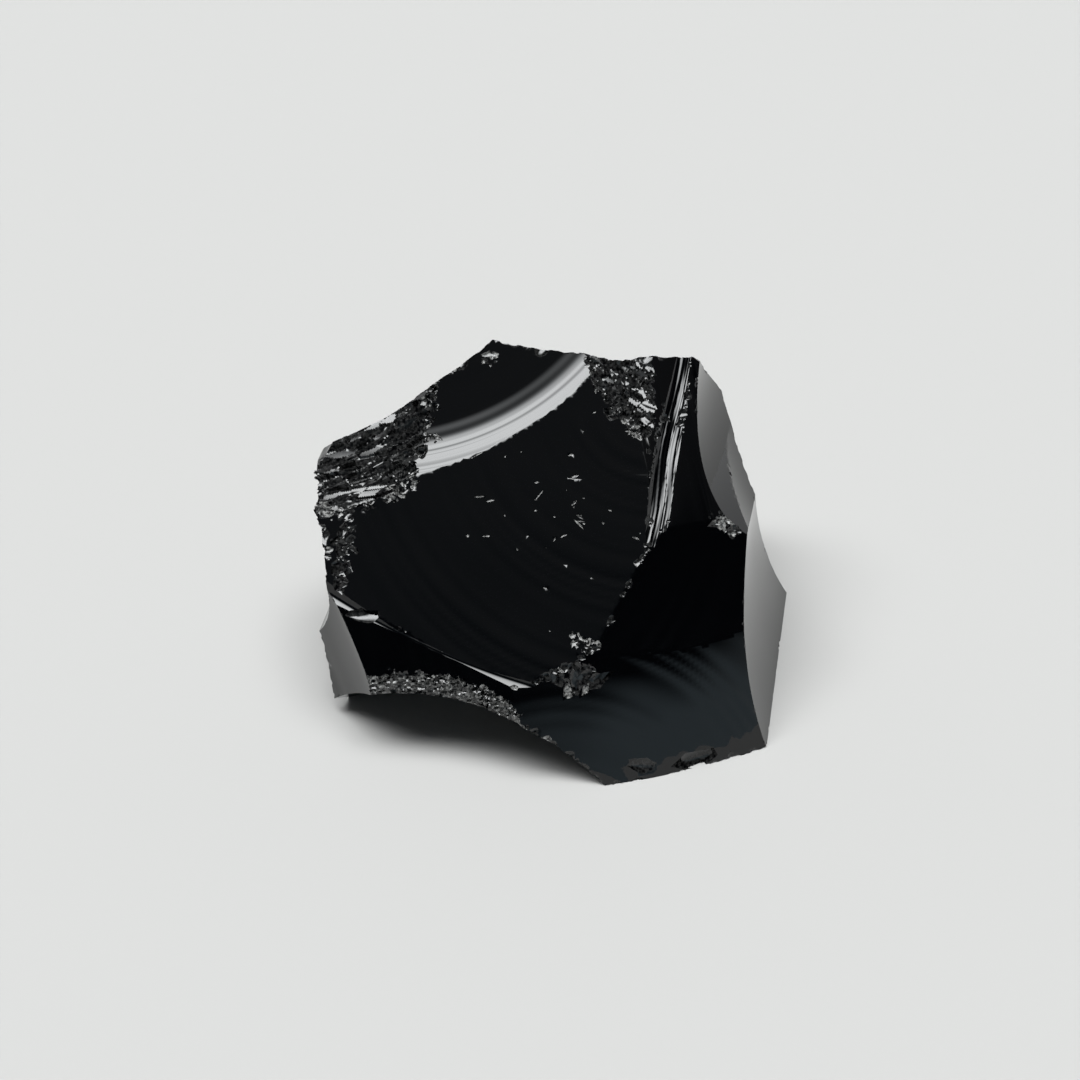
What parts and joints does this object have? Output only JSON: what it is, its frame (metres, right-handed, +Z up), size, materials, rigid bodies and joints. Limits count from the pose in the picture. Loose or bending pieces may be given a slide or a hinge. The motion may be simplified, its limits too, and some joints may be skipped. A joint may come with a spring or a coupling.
{
  "type": "obsidian chunk",
  "caption": "Raw chunk of black volcanic glass with conchoidal scars and sharp chipped edges, resting on a flat base.",
  "frame": {"origin": "under the middle of the bounding box, on the flat base that the chunk rests on", "axes": "+X across the broad front face to its right, +Y to the back, +Z up from the base"},
  "size_m": [0.0596, 0.0522, 0.0391],
  "materials": {
    "obsidian": "glassy"
  },
  "bodies": {
    "root": {"obsidian_chunk": "obsidian"}
  },
  "joints": []
}
